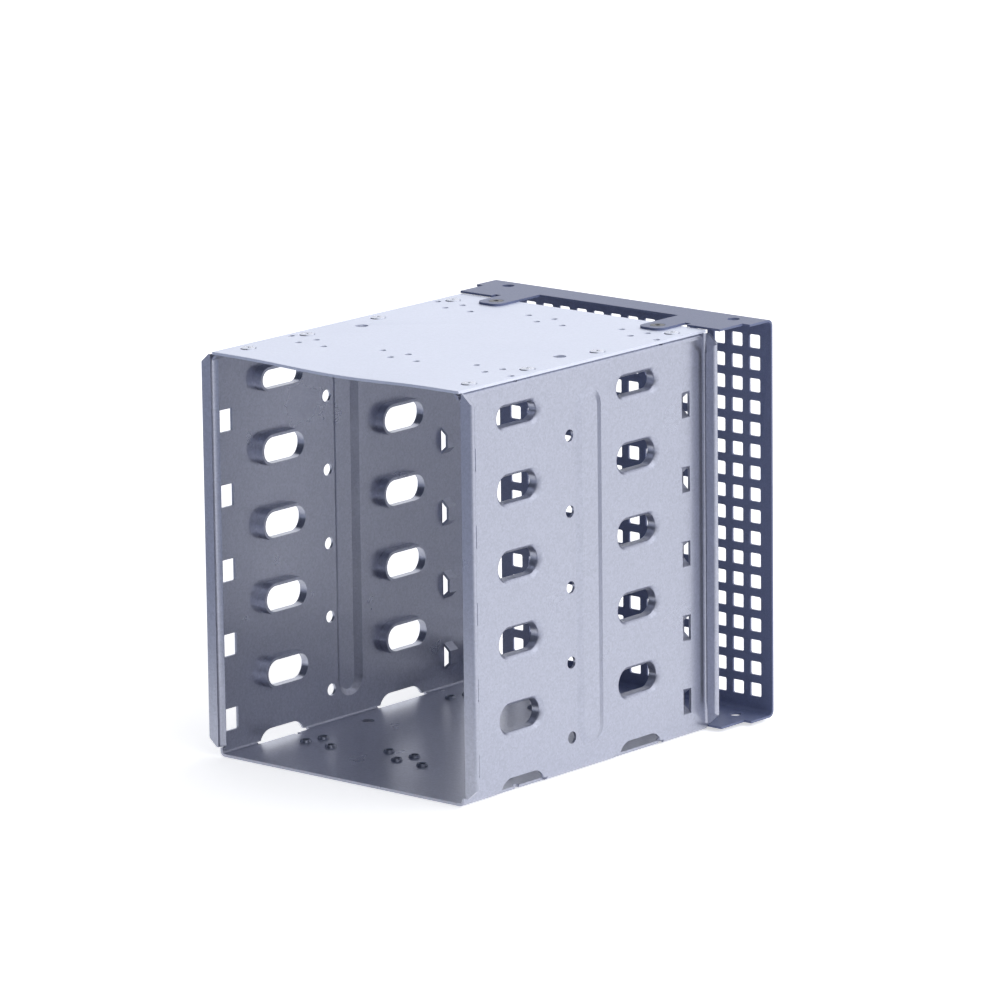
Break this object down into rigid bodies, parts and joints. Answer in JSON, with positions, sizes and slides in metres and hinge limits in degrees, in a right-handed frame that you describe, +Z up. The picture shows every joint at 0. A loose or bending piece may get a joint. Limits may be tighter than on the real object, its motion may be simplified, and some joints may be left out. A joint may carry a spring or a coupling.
{
  "type": "hard drive cage",
  "caption": "Open sheet-metal cage for 3.5 inch hard drives, stacked in a block of 5.25 inch bays, with a dark perforated fan bracket on its back.",
  "frame": {"origin": "middle of the whole footprint, cage and bracket together, at the underside of the floor", "axes": "+Z up from the floor to the top plate, -Y out of the open front where the drives go in, +Y towards the fan bracket, +X to the right seen from the front"},
  "size_m": [0.1284, 0.1608, 0.1468],
  "materials": {
    "galvanised_steel": "galvanised, fine spangle",
    "dark_painted_steel": "satin powder coat",
    "rivet_steel": "plated, dull",
    "blackened_steel": "black zinc, satin"
  },
  "bodies": {
    "root": {"body_channel": "galvanised_steel", "top_plate": "galvanised_steel", "fan_bracket": "dark_painted_steel", "rivet_left_1": "rivet_steel", "rivet_left_2": "rivet_steel", "rivet_left_3": "rivet_steel", "rivet_left_4": "rivet_steel", "rivet_right_1": "rivet_steel", "rivet_right_2": "rivet_steel", "rivet_right_3": "rivet_steel", "rivet_right_4": "rivet_steel", "bracket_screw_top_left": "blackened_steel", "bracket_screw_top_right": "blackened_steel", "bracket_screw_floor_left": "blackened_steel", "bracket_screw_floor_right": "blackened_steel"}
  },
  "joints": []
}
